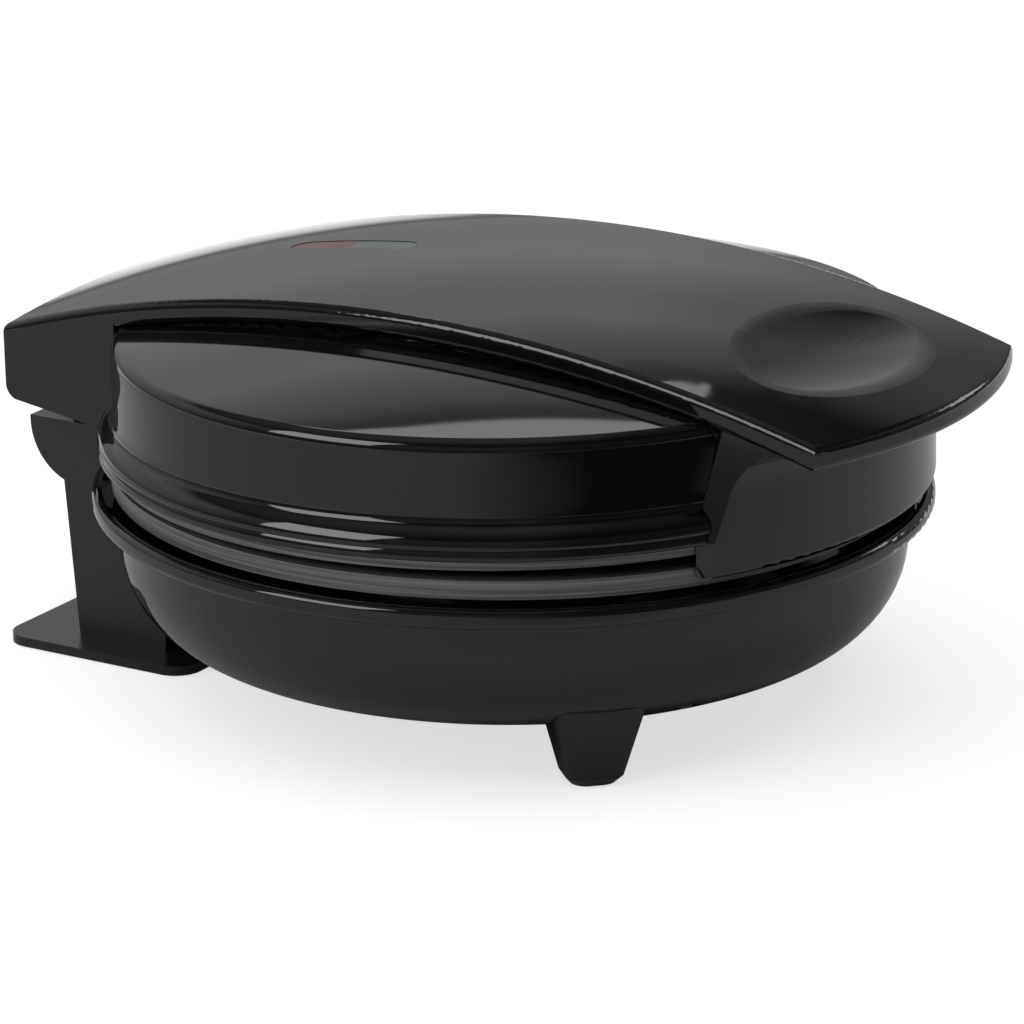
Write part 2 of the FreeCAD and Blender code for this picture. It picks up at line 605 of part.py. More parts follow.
def side_cheeks(name, grow, deep):
    """Prism under the front of the cover: straight sides, then a flare down to the skirt."""
    return padded(name, "XZ_Plane", [
        (f"-skirt_half - {grow}", f"skirt_bottom - {deep}"),
        (f"skirt_half + {grow}", f"skirt_bottom - {deep}"),
        (f"skirt_half + {grow}", "lid_rim_bottom"),
        (f"cover_inner_half + {grow}", "skirt_bend_z"),
        (f"cover_inner_half + {grow}", "cover_apex + 10"),
        (f"-cover_inner_half - {grow}", "cover_apex + 10"),
        (f"-cover_inner_half - {grow}", "skirt_bend_z"),
        (f"-skirt_half - {grow}", "lid_rim_bottom"),
    ], "front_reach + 5")


cheeks_clear = side_cheeks("cheeks_clear", "fit_gap", "1")
rear_clear = block("rear_clear", ("-cover_rear_half - 4", "cover_rear_half + 4"), ("60", "rear_reach"),
                   ("lid_rim_bottom - 5", "lid_rim_bottom + lid_rim_height + lid_cove + 2"))
lid_core = cylinder("lid_core", "lid_wall_low + 0.15", "80", z="40")
rim_stops = cut("rim_stops", fuse("rim_stop_blocks", [cheeks_clear, rear_clear]), lid_core)
keep("lid_shell", cut("lid_shell", fuse("lid_shell_full", [lid_turned, lid_posts]), lid_bores, cover_bores,
                      lid_wires, rim_stops), lid=True)

# Bridge cover: a domed lip plate on cheeks, a front skirt and a rear hinge block
COVER_OUTLINE = [
    ("-cover_rear_half", "rear_reach", "cover_side_arc"),
    ("-cover_front_half", "-cover_front_corner", "cover_front_arc"),
    ("cover_front_half", "-cover_front_corner", "cover_side_arc"),
    ("cover_rear_half", "rear_reach"),
]
cover_prism = padded("cover_prism", "XY_Plane", COVER_OUTLINE, "100", "30")
sky = sphere("sky", "cover_sphere")
lip_under = sphere("lip_under", "cover_sphere - cover_lip")
lip_half = sphere("lip_half", "cover_sphere - cover_lip / 2")
roof_under = sphere("roof_under", "cover_sphere - wall - 0.3")
lip_plate = cut("lip_plate", common("lip_blank", cover_prism, sky), lip_under)
doc.recompute()
lip = doc.addObject("Part::Fillet", "lip")
lip.Base = lip_plate
lip.Edges = [(number, 2.0, 2.0) for number, edge in enumerate(lip_plate.Shape.Edges, 1)
             if abs(edge.BoundBox.ZLength) < 25 and edge.Length > 40]
dimple = doc.addObject("Part::Ellipsoid", "dimple")
for field, text in (("Radius1", "dimple_depth * 4"), ("Radius2", "dimple_half_x * 1.51"),
                    ("Radius3", "dimple_half_y * 1.51")):
    dimple.setExpression(field, bound(text))
dimple.setExpression("Placement", bound(
    "placement(vector(0; 0; cover_apex + dimple_depth * 3); rotation(vector(1; 0; 0); asin(dimple_y / cover_sphere)); "
    "vector(0; 0; -cover_sphere - dimple_depth * 3))"))
lip_pressed = cut("lip_pressed", lip, dimple)
doc.recompute()
lip_soft = doc.addObject("Part::Fillet", "lip_soft")
lip_soft.Base = lip_pressed
lip_soft.Edges = [(number, value("dimple_round"), value("dimple_round"))
                  for number, edge in enumerate(lip_pressed.Shape.Edges, 1)
                  if edge.BoundBox.YMin > -118 and edge.BoundBox.YMax < -60 and edge.Length > 60]
SPHERE_UNDER = "(cover_apex - cover_sphere + sqrt((cover_sphere - cover_lip) ^ 2 - (skirt_radius + skirt_cove) ^ 2))"
front_turned = turned("front_turned", [
    ("0", "skirt_bottom"),
    ("skirt_radius - 1.5", "skirt_bottom", "1.5"),
    ("skirt_radius", "skirt_bottom + 1.5"),
    ("skirt_radius", f"{SPHERE_UNDER} - skirt_cove + 1", "-skirt_cove"),
    ("skirt_radius + skirt_cove", f"{SPHERE_UNDER} + 1"),
    ("skirt_radius + skirt_cove", "cover_apex"),
    ("0", "cover_apex"),
])
cheeks = side_cheeks("cheeks", "0", "2")
front_part = common("front_part", front_turned, cheeks, lip_half)
middle_prism = padded("middle_prism", "XY_Plane", [
    ("-cover_inner_half", "0"), ("cover_inner_half", "0"),
    ("cover_rear_half + 0.5", "block_front + 2"), ("-cover_rear_half - 0.5", "block_front + 2"),
], "40", "lid_edge_z - 8")
middle_part = common("middle_part", middle_prism, lip_half)
rear_prism = padded("rear_prism", "YZ_Plane", [
    ("block_front", "block_bottom"),
    ("rear_reach - 4", "block_bottom + 3.8", "4"),
    ("rear_reach", "block_bottom + 7.6"),
    ("rear_reach", "cover_apex"),
    ("block_front", "cover_apex"),
], "120", both=True)
rear_part = common("rear_part", rear_prism, cover_prism, lip_half)
cover_full = fuse("cover_full", [lip_soft, front_part, middle_part, rear_part])
front_hollow = common("front_hollow", cylinder("skirt_inner", "skirt_radius - wall", "100", z="40"),
                      padded("cheek_inner", "XZ_Plane", [
                          ("-skirt_half + wall", "40"), ("skirt_half - wall", "40"),
                          ("skirt_half - wall", "lid_rim_bottom"),
                          ("cover_inner_half - wall", "skirt_bend_z"), ("cover_inner_half - wall", "cover_apex + 10"),
                          ("-cover_inner_half + wall", "cover_apex + 10"),
                          ("-cover_inner_half + wall", "skirt_bend_z"), ("-skirt_half + wall", "lid_rim_bottom"),
                      ], "front_reach"), roof_under)
middle_hollow = common("middle_hollow", padded("middle_inner", "XY_Plane", [
    ("-cover_inner_half + wall", "-1"), ("cover_inner_half - wall", "-1"),
    ("block_inner", "block_front"), ("-block_inner", "block_front")], "60", "60"), roof_under)
rear_hollow = common("rear_hollow", block("rear_inner", ("-block_inner", "block_inner"),
                                          ("block_front - 4", "rear_reach - wall"), ("40", "cover_apex")), roof_under)
rear_notch = block("rear_notch", ("-block_inner", "block_inner"), ("rear_reach - 10", "rear_reach + 5"),
                   ("40", "notch_z"))
slot_box = padded("slot_box", "XY_Plane", rounded(
    "-slot_width / 2", "slot_width / 2", "slot_y - slot_length / 2", "slot_y + slot_length / 2",
    "(slot_width / 2 - 0.4)"), "30", "cover_apex - 20")
dimple_keep = cut("dimple_keep", block(
    "dimple_box", ("-cover_front_half", "cover_front_half"), ("-skirt_radius", "-dimple_y + dimple_half_y + 5"),
    ("lid_rim_bottom", "cover_apex")), lip_under)
cover_hollows = cut("cover_hollows", fuse("hollow_parts", [front_hollow, middle_hollow, rear_hollow]), dimple_keep)
cover_hollow = cut("cover_hollow", cover_full, cover_hollows,
                   lid_space, rear_notch, slot_box,
                   cylinder("plate_swing", "plate_radius + 0.8", "lid_rim_bottom - 37", z="40"))
post_top = sphere("post_top", "cover_sphere - 1")
cover_posts = common("cover_posts", cut("cover_post_trim", fuse("cover_post_set", [
    cylinder(f"cover_post_{number}", "4", "40", x, y, "lid_edge_z") for number, (x, y) in enumerate(COVER_SPOTS)] + [
    cylinder(f"bracket_post_{side}", "4", "40", f"{sign} * 12", "hinge_y + 9", "bracket_z + wall")
    for side, sign in SIDES]), lid_space), post_top)
cover_drills = fuse("cover_drills", [
    cylinder(f"cover_drill_{number}", "screw_radius + hole_play", "9", x, y, "lid_apex - 3")
    for number, (x, y) in enumerate(COVER_SPOTS)] + [
    cylinder(f"bracket_drill_{side}", "screw_radius + hole_play", "8", f"{sign} * 12", "hinge_y + 9", "bracket_z")
    for side, sign in SIDES])
keep("top_cover", cut("top_cover", fuse("cover_solid", [cover_hollow, cover_posts]),
                      cover_drills), lid=True)

# Hinge bracket inside the block: a plate with two ears that hang into the lug slots
ears = []
for side, sign in SIDES:
    middle = f"{sign} * (ear_inner + ear_thick / 2)"
    ears.append(block(f"ear_{side}", (f"{middle} - ear_thick / 2", f"{middle} + ear_thick / 2"),
                      ("hinge_y - ear_radius", "hinge_y + ear_radius"), ("hinge_z", "bracket_z + 1")))
    ears.append(cylinder(f"ear_round_{side}", "ear_radius", "ear_thick", f"{middle} - ear_thick / 2",
                         "hinge_y", "hinge_z", "x"))
bracket_plate = block("bracket_plate", ("-block_inner + 1", "block_inner - 1"),
                      ("lid_wall_low + 1", "rear_reach - wall - 0.5"), ("bracket_z", "bracket_z + wall"))
keep("hinge_bracket", cut("hinge_bracket", fuse("bracket_solid", [bracket_plate] + ears),
                          cylinder("ear_bore", "pin_radius + pin_play", "100", "-50", "hinge_y", "hinge_z", "x"),
                          cover_drills), lid=True)
keep("bracket_screws", fuse("bracket_screws", [
    cylinder(f"bracket_head_{side}", "head_radius", "1.2", f"{sign} * 12", "hinge_y + 9", "bracket_z - 1.2")
    for side, sign in SIDES] + [
    cylinder(f"bracket_shank_{side}", "screw_radius", "8", f"{sign} * 12", "hinge_y + 9", "bracket_z - 0.6")
    for side, sign in SIDES]), lid=True)
COVER_HEAD = f"({dome_z('47', 'wall')} - head_height - 0.1)"
keep("cover_screws", fuse("cover_screws", [
    cylinder(f"cover_head_{number}", "head_radius", "head_height", x, y, COVER_HEAD)
    for number, (x, y) in enumerate(COVER_SPOTS)] + [
    cylinder(f"cover_shank_{number}", "screw_radius", "9", x, y, f"{COVER_HEAD} + 1")
    for number, (x, y) in enumerate(COVER_SPOTS)]), lid=True)

# Indicator: two lenses in the slot, a holder below them and a lamp under each lens
SLOT_TOP = "(cover_apex - cover_sphere + sqrt((cover_sphere) ^ 2 - (slot_y) ^ 2))"
slot_inset = padded("slot_inset", "XY_Plane", rounded(
    "-slot_width / 2 + 0.12", "slot_width / 2 - 0.12", "slot_y - slot_length / 2 + 0.12",
    "slot_y + slot_length / 2 - 0.12", "(slot_width / 2 - 0.52)"), "30", "cover_apex - 20")
for label, low, high in (("green_lens", "slot_y - slot_length / 2 + 0.1", "slot_y - 0.1"),
                         ("red_lens", "slot_y + 0.1", "slot_y + slot_length / 2 - 0.1")):
    lens = padded(f"{label}_blank", "XY_Plane", rounded(
        "-slot_width / 2 - 1", "slot_width / 2 + 1", low, high, "0.5"), "20", f"{SLOT_TOP} - 4.2")
    keep(label, common(label, lens, slot_inset, sphere(f"{label}_top", "cover_sphere - 0.15")), lid=True)
HOLDER_TOP = f"({SLOT_TOP} - 4.4)"
lamp_bores = []
for number, (label, spot) in enumerate((("green_lamp", "slot_y - slot_length / 4"),
                                        ("red_lamp", "slot_y + slot_length / 4"))):
    lamp_bores.append(cylinder(f"{label}_bore", "2 + hole_play", "12", "-6", spot, f"{HOLDER_TOP} - 2", "x"))
    keep(label, fuse(label, [
        cylinder(f"{label}_glass", "2", "9", "-4.5", spot, f"{HOLDER_TOP} - 2", "x"),
        cylinder(f"{label}_wires", "0.5", "13", "-6.5", spot, f"{HOLDER_TOP} - 2", "x")]), lid=True)
keep("lamp_holder", cut("lamp_holder", block(
    "holder_blank", ("-5.5", "5.5"), ("slot_y - slot_length / 2", "slot_y + slot_length / 2"),
    (f"{dome_z('30', '0')} + 0.2", f"{HOLDER_TOP} - 2")), fuse("lamp_bores", lamp_bores)), lid=True)

doc.recompute()
os.makedirs("parts", exist_ok=True)
for obj in doc.Objects:
    if "Invalid" in obj.State or "Error" in obj.State:
        raise RuntimeError(f"{obj.Name} did not rebuild: {obj.State}")
for label, obj in nodes:
    shape = obj.Shape
    if shape.isNull() or not shape.isValid():
        raise RuntimeError(f"{label} has no valid shape")
for label, obj in nodes:
    obj.Shape.exportStep(f"parts/{label}.step")
    print(label, len(obj.Shape.Solids), [round(x, 1) for x in (
        obj.Shape.BoundBox.XMin, obj.Shape.BoundBox.XMax, obj.Shape.BoundBox.YMin,
        obj.Shape.BoundBox.YMax, obj.Shape.BoundBox.ZMin, obj.Shape.BoundBox.ZMax)], round(obj.Shape.Volume))
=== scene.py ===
# %% [markdown]
# # A gloss black donut maker
# The real thing is a round countertop baker: a moulded bowl and lid in piano-black plastic, two dark
# non-stick plates between them, and a bridge-shaped cover that is also the handle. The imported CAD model
# already holds every rigid piece in its place, so this lesson loads it and gives each piece its finish.

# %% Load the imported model
import json
import math

import bmesh
import bpy
from mathutils import Matrix, Vector


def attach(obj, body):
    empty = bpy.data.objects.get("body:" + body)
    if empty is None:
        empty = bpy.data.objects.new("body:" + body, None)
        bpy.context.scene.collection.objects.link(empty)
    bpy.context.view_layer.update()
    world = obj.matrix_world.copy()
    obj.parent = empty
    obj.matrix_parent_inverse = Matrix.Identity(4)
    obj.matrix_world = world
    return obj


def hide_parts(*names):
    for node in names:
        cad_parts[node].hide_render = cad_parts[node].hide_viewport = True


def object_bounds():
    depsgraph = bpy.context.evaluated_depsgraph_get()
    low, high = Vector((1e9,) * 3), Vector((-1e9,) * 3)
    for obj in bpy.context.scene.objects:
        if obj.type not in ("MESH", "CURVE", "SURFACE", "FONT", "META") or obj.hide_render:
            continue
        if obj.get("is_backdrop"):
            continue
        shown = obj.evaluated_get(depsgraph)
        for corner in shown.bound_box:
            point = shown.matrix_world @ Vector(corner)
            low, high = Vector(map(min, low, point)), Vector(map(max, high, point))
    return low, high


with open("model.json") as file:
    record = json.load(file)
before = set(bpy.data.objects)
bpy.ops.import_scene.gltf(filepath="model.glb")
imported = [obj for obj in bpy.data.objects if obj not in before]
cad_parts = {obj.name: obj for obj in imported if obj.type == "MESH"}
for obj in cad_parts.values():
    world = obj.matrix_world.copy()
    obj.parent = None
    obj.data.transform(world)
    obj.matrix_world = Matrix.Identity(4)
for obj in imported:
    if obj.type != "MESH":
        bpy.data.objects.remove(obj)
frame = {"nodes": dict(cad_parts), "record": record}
nodes = frame["nodes"]
cad_low, cad_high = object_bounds()
print("pieces loaded:", len(nodes))
print("size in mm:", [round(side * 1000, 1) for side in cad_high - cad_low])

# %% [markdown]
# ## A helper for finishes
# Every finish here is one Principled shader. A helper that takes the few sockets that differ keeps the
# later cells short, and the finish stays readable as a list of real properties: colour, roughness, coat.


# %% A plain finish
def finish_material(name, colour, roughness, metallic=0.0, coat=0.0, coat_roughness=0.03, ior=1.5):
    material = bpy.data.materials.new(name)
    material.use_nodes = True
    shader = material.node_tree.nodes["Principled BSDF"]
    shader.inputs["Base Color"].default_value = (*colour, 1.0)
    shader.inputs["Roughness"].default_value = roughness
    shader.inputs["Metallic"].default_value = metallic
    shader.inputs["Coat Weight"].default_value = coat
    shader.inputs["Coat Roughness"].default_value = coat_roughness
    shader.inputs["IOR"].default_value = ior
    return material


def socket(material, name):
    return material.node_tree.nodes["Principled BSDF"].inputs[name]


# %% [markdown]
# ## Piano-black plastic
# The lid, cover and bowl are polished black mouldings. Nearly all that the eye sees on them is reflection,
# so the colour is almost black and the roughness is very low.

# %% Gloss black
gloss_black = finish_material("gloss_black_plastic", (0.0014, 0.0014, 0.0016), roughness=0.05)
print("made", gloss_black.name)

# %% [markdown]
# ## Satin black plastic
# The stand, feet and foot plate come out of a textured mould. A fine noise bump breaks up the highlight
# the way spark-eroded texture does, without changing the shape. It could be sculpted, but a bump costs no
# faces. Two small helpers add and join the shader nodes here and in the later cells.


# %% Helpers for shader nodes
def add_node(tree, kind, operation=None):
    """A new shader node, with its operation where it has one."""
    node = tree.nodes.new(kind)
    if operation:
        node.operation = operation
    return node


def wire(tree, *pairs):
    """Join each output to its input."""
    for source, target in pairs:
        tree.links.new(source, target)


# %% Satin black with a fine grain
GRAIN_DETAIL = 4.0


def add_grain(material, scale, strength, distance):
    """Give the finish a fine bump, and return the noise behind it."""
    tree = material.node_tree
    coordinates = add_node(tree, "ShaderNodeTexCoord")
    noise = add_node(tree, "ShaderNodeTexNoise")
    noise.inputs["Scale"].default_value = scale
    noise.inputs["Detail"].default_value = GRAIN_DETAIL
    bump = add_node(tree, "ShaderNodeBump")
    bump.inputs["Strength"].default_value = strength
    bump.inputs["Distance"].default_value = distance
    wire(
        tree,
        (coordinates.outputs["Object"], noise.inputs["Vector"]),
        (noise.outputs["Fac"], bump.inputs["Height"]),
        (bump.outputs["Normal"], socket(material, "Normal")),
    )
    return noise


satin_black = finish_material("satin_black_plastic", (0.004, 0.004, 0.0044), roughness=0.30)
add_grain(satin_black, scale=900.0, strength=0.25, distance=0.0002)
gland_rubber = finish_material("gland_rubber", (0.012, 0.012, 0.012), roughness=0.6)
print("made", satin_black.name, gland_rubber.name)

# %% [markdown]
# ## Non-stick plates
# The plates are cast aluminium under a dark non-stick coat. Their turned edges catch a grey, slightly
# streaked light. The noise is stretched flat, so that it runs around the edge like tool marks, and a colour
# ramp turns it into a darker and a paler grey. The ramp helper serves the floor, the world and the card too.


# %% Helper for a ramp of tones
def tone_ramp(tree, stops):
    """A colour ramp with one (place, colour) pair for each stop."""
    ramp = add_node(tree, "ShaderNodeValToRGB")
    first, *between, last = stops
    for element, (place, colour) in zip(ramp.color_ramp.elements, (first, last)):
        element.position = place
        element.color = (*colour, 1.0)
    for place, colour in between:
        ramp.color_ramp.elements.new(place).color = (*colour, 1.0)
    return ramp


# %% Non-stick coat with streaks
STREAK_STRETCH = (0.03, 0.03, 4.0)
STREAK_TONES = ((0.35, (0.050, 0.050, 0.052)), (0.70, (0.130, 0.130, 0.134)))
nonstick = finish_material("nonstick_coat", (0.055, 0.055, 0.057), roughness=0.42, metallic=0.35)
streaks = add_grain(nonstick, scale=420.0, strength=0.35, distance=0.0003)
nonstick_tree = nonstick.node_tree
streak_map = add_node(nonstick_tree, "ShaderNodeMapping")
streak_map.inputs["Scale"].default_value = STREAK_STRETCH
streak_source = streaks.inputs["Vector"].links[0].from_socket
streak_tone = tone_ramp(nonstick_tree, STREAK_TONES)
wire(
    nonstick_tree,
    (streak_source, streak_map.inputs["Vector"]),
    (streak_map.outputs["Vector"], streaks.inputs["Vector"]),
    (streaks.outputs["Fac"], streak_tone.inputs["Fac"]),
    (streak_tone.outputs["Color"], socket(nonstick, "Base Color")),
)
print("made", nonstick.name)

# %% [markdown]
# ## Small parts
# The two lenses are tinted and unlit, so they look dull: a red-brown one at the rear and a grey-green one
# in front of it. Inside sit plain steel, bright reflector sheet and heat-proof white mouldings.

# %% Lenses and inner finishes
red_tint = finish_material("red_lens_tint", (0.060, 0.016, 0.012), roughness=0.30)
green_tint = finish_material("green_lens_tint", (0.036, 0.052, 0.043), roughness=0.30)
plain_steel = finish_material("plain_steel", (0.42, 0.42, 0.43), roughness=0.35, metallic=1.0)
bright_sheet = finish_material("bright_sheet", (0.72, 0.72, 0.73), roughness=0.28, metallic=1.0)
white_moulding = finish_material("white_moulding", (0.70, 0.69, 0.65), roughness=0.5)
lamp_glass = finish_material("lamp_glass", (0.75, 0.70, 0.66), roughness=0.08)
socket(lamp_glass, "Transmission Weight").default_value = 0.8
print("made", red_tint.name, green_tint.name, plain_steel.name, bright_sheet.name, white_moulding.name)

# %% [markdown]
# ## Dressing the CAD pieces
# The record names a material slot for every piece. One table from slot to finish dresses them all, so no
# piece is forgotten when a new one is added to the model.

# %% Give every piece its finish
FINISHES = {
    "gloss_black": gloss_black,
    "satin_black": satin_black,
    "nonstick_plate": nonstick,
    "steel": plain_steel,
    "reflector_sheet": bright_sheet,
    "gland_rubber": gland_rubber,
    "white_plastic": white_moulding,
    "red_lens": red_tint,
    "green_lens": green_tint,
    "lamp_glass": lamp_glass,
}
slot_of = {part["node"]: part["material_slot"] for part in frame["record"]["subparts"]}
for name, piece in nodes.items():
    piece.data.materials.clear()
    piece.data.materials.append(FINISHES[slot_of[name]])
print("dressed", len(nodes), "pieces")

# %% [markdown]
# ## A smooth lid moulding
# The lid is a turned shape: dome, shoulder, wall, and a rolled rim that flows out of the wall in one sweep.
# Gloss shows every facet, so the visible lid is spun here from a fine outline. From the inner ledge the
# outline returns to the axis along its own course, a little lower. That closes the skin, and it also leaves
# a second ridge under the rolled rim.


# %% Bends of an outline
def bend(start, pull, end, steps):
    """Points on a smooth bend from start to end, without the start."""
    points = []
    for step in range(1, steps + 1):
        share = step / steps
        weights = ((1 - share) ** 2, 2 * share * (1 - share), share ** 2)
        points.append(tuple(sum(w * point[axis] for w, point in zip(weights, (start, pull, end)))
                            for axis in (0, 1)))
    return points


# %% Outline of the lid, in millimetres from the axis
DOME_RADIUS, DOME_TOP, DOME_EDGE = 690.0, 95.4, 96.4
DOME_STEPS = 24
RIM_LEDGE, RIM_FOOT = 64.2, 62.8
LEDGE_RADIUS, INNER_RADIUS = 101.5, 97.0
RETURN_DROP = 2.5
LID_BENDS = {
    "shoulder": ((98.9, 88.2), (99.1, 85.4), 8),
    "wall": ((99.3, 77.0), (99.5, 70.6), 6),
    "foot of the wall": ((99.6, 68.7), (100.5, 68.0), 6),
    "rolled rim": ((103.1, 66.2), (103.4, 63.9), 10),
    "edge of the rim": ((103.4, RIM_FOOT), (102.4, RIM_FOOT), 5),
}
lid_outline = []
for step in range(DOME_STEPS + 1):
    radius = DOME_EDGE * step / DOME_STEPS
    lid_outline.append((radius, DOME_TOP - DOME_RADIUS + math.sqrt(DOME_RADIUS ** 2 - radius ** 2)))
for pull, end, steps in LID_BENDS.values():
    lid_outline += bend(lid_outline[-1], pull, end, steps)
lid_outline += [(LEDGE_RADIUS, RIM_FOOT), (LEDGE_RADIUS, RIM_LEDGE), (INNER_RADIUS, RIM_LEDGE)]
lid_outline += [(96.4, 82.0), (94.0, 85.9)]
lid_outline += [(radius, height - RETURN_DROP) for radius, height in reversed(lid_outline[:-1])]
print("points in the lid outline:", len(lid_outline))

# %% [markdown]
# The rim has to stop on both sides of the cover, at its front skirt and at its hinge block. A cut with a
# boolean would leave ragged faces in the gloss, so the skin is made column by column instead: columns under
# the cover have no rim, and a column at each side of it ends in a flat plane.

# %% Where the cover interrupts the rim
CLEAR_RADIUS = 99.65
FRONT_HALF, REAR_HALF = 55.8, 46.5
SKIRT_FOOT, SKIRT_LEAN = 60.9, 0.319
FRONT_ANGLE = math.asin(FRONT_HALF / CLEAR_RADIUS)
REAR_ANGLE = math.pi - math.asin(REAR_HALF / CLEAR_RADIUS)
DOME_LIFT, LIFT_START, LIFT_SPAN = 4.0, 43.0, 3.5


def cover_half(angle, height):
    """Half the cover's width where the rim meets it; the front skirt leans inward."""
    if abs(angle) < math.pi / 2:
        return FRONT_HALF - max(height - SKIRT_FOOT, 0.0) * SKIRT_LEAN
    return REAR_HALF


def lifted(x, radius, height):
    """Height of the dome, a little fuller beside the cover than under it."""
    share = min(max((abs(x) - LIFT_START) / LIFT_SPAN, 0.0), 1.0)
    ease = share * share * (3 - 2 * share)
    return height + DOME_LIFT * ease * max(1 - (radius / DOME_EDGE) ** 2, 0.0)


# %% Columns around the axis
SIDE_STEP = 0.03
FRONT_COLUMNS, SIDE_COLUMNS, REAR_COLUMNS = 36, 110, 30


def spun(angle, clear):
    """One column; a clear column has its rim trimmed back to the wall."""
    column = []
    for radius, height in lid_outline:
        if clear and radius > INNER_RADIUS:
            radius, height = min(radius, CLEAR_RADIUS), max(height, RIM_LEDGE)
        x = radius * math.sin(angle)
        column.append((x, -radius * math.cos(angle), lifted(x, radius, height)))
    return column


def planed(angle):
    """A full column whose rim ends in the flat plane beside the cover."""
    column = spun(angle, False)
    for index, (radius, height) in enumerate(lid_outline):
        if radius > CLEAR_RADIUS:
            half = cover_half(angle, height)
            depth = math.sqrt(radius ** 2 - half ** 2)
            column[index] = (math.copysign(half, angle), math.copysign(depth, -math.cos(angle)), height)
    return column


def sweep(low, high, count, clear):
    """Columns at even steps from the low angle to the high one."""
    return [spun(low + (high - low) * step / count, clear) for step in range(count + 1)]


columns = sweep(-FRONT_ANGLE, FRONT_ANGLE, FRONT_COLUMNS, True) + [planed(FRONT_ANGLE)]
columns += sweep(FRONT_ANGLE + SIDE_STEP, REAR_ANGLE - SIDE_STEP, SIDE_COLUMNS, False) + [planed(REAR_ANGLE)]
columns += sweep(REAR_ANGLE, 2 * math.pi - REAR_ANGLE, REAR_COLUMNS, True) + [planed(-REAR_ANGLE)]
columns += sweep(SIDE_STEP - REAR_ANGLE, -FRONT_ANGLE - SIDE_STEP, SIDE_COLUMNS, False)
columns += [planed(-FRONT_ANGLE)]
print("columns around the lid:", len(columns))

# %% Mesh of the lid
MILLIMETRE = 0.001
HINGE = Vector((0.0, 103.5, 58.5))
REST = Matrix.Rotation(math.radians(-0.9), 4, "X")
rows = len(lid_outline)
corners = [(HINGE + REST @ (Vector(point) - HINGE)) * MILLIMETRE for column in columns for point in column]
faces = []
for column in range(len(columns)):
    here = column * rows
    there = (column + 1) % len(columns) * rows
    for row in range(rows - 1):
        faces.append((here + row, here + row + 1, there + row + 1, there + row))
lid_mesh = bpy.data.meshes.new("lid_skin")
lid_mesh.from_pydata(corners, [], faces)
print("lid faces before cleaning:", len(faces))

# %% Clean the mesh and hand it over
WELD = 1e-6
SHARP_EDGE = math.radians(38.0)
cleaner = bmesh.new()
cleaner.from_mesh(lid_mesh)
bmesh.ops.remove_doubles(cleaner, verts=cleaner.verts, dist=WELD)
bmesh.ops.dissolve_degenerate(cleaner, edges=cleaner.edges, dist=WELD)
bmesh.ops.recalc_face_normals(cleaner, faces=cleaner.faces)
cleaner.to_mesh(lid_mesh)
cleaner.free()
lid_mesh.shade_smooth()
lid_mesh.set_sharp_from_angle(angle=SHARP_EDGE)
lid_mesh.materials.append(gloss_black)
lid_skin = bpy.data.objects.new("lid_skin", lid_mesh)
bpy.context.scene.collection.objects.link(lid_skin)
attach(lid_skin, "lid")
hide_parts("lid_shell")
print("lid skin faces:", len(lid_mesh.polygons))

# %% [markdown]
# ## The table top
# A product photo stands the object on a seamless white sweep. A curved backdrop would do, but one large
# plane is enough here, because the camera looks down on it. It is white around the object and greyer far
# off, which is what the rear of the cover mirrors.


# %% Floor plane
def flat_sheet(name, sheet_corners):
    """One four-cornered sheet, linked to the scene."""
    mesh = bpy.data.meshes.new(name)
    mesh.from_pydata(sheet_corners, [], [(0, 1, 2, 3)])
    sheet = bpy.data.objects.new(name, mesh)
    bpy.context.scene.collection.objects.link(sheet)
    return sheet


FLOOR_HALF, FLOOR_DROP = 6.0, 0.0004
SQUARE = ((-1, -1), (1, -1), (1, 1), (-1, 1))
floor = flat_sheet("white_sweep", [(x * FLOOR_HALF, y * FLOOR_HALF, -FLOOR_DROP) for x, y in SQUARE])
print("floor half width:", FLOOR_HALF)


# %% Floor white, greyer far off
def grey(level):
    return (level, level, level)


FADE_START, FADE_END = 1.6, 2.6
floor_white = finish_material("floor_white", grey(0.93), roughness=0.9)
socket(floor_white, "Specular IOR Level").default_value = 0.0
floor_tree = floor_white.node_tree
floor_place = add_node(floor_tree, "ShaderNodeTexCoord")
floor_reach = add_node(floor_tree, "ShaderNodeVectorMath", "LENGTH")
fade = add_node(floor_tree, "ShaderNodeMapRange")
fade.inputs["From Min"].default_value = FADE_START
fade.inputs["From Max"].default_value = FADE_END
floor_tone = tone_ramp(floor_tree, ((0.0, grey(0.97)), (1.0, grey(0.50))))
wire(
    floor_tree,
    (floor_place.outputs["Object"], floor_reach.inputs[0]),
    (floor_reach.outputs["Value"], fade.inputs["Value"]),
    (fade.outputs["Result"], floor_tone.inputs["Fac"]),
    (floor_tone.outputs["Color"], socket(floor_white, "Base Color")),
)
floor.data.materials.append(floor_white)
print("made", floor_white.name)

# %% [markdown]
# Part of the floor's white goes straight to the eye, and a smaller part to mirrors and glass. Stronger lamps
# would whiten it too, but they would also wash out the black, and the soft shadow that seats the object has
# to stay.

